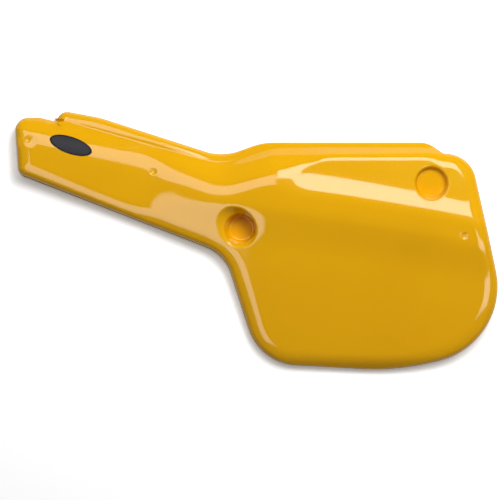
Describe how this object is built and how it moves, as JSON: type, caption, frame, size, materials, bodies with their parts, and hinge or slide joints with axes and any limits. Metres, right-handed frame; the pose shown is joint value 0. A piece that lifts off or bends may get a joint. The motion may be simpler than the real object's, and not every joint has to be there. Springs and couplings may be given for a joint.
{
  "type": "motorcycle side panel",
  "caption": "Handed side panel for an off-road motorcycle: a broad crowned number plate with a drafted rim, seat flange, two bolt pockets and a narrow arm.",
  "frame": {"origin": "middle of the rim's bounding box, on the rim plane that the panel rests on", "axes": "+X from the tip of the arm towards the number plate, +Y towards the seat flange, +Z out of the face"},
  "size_m": [0.5402, 0.2892, 0.0346],
  "materials": {
    "yellow_plastic": "gloss, vacuum formed",
    "decal_vinyl": "gloss vinyl"
  },
  "bodies": {
    "root": {"panel_shell": "yellow_plastic", "oval_decal": "decal_vinyl"}
  },
  "joints": []
}
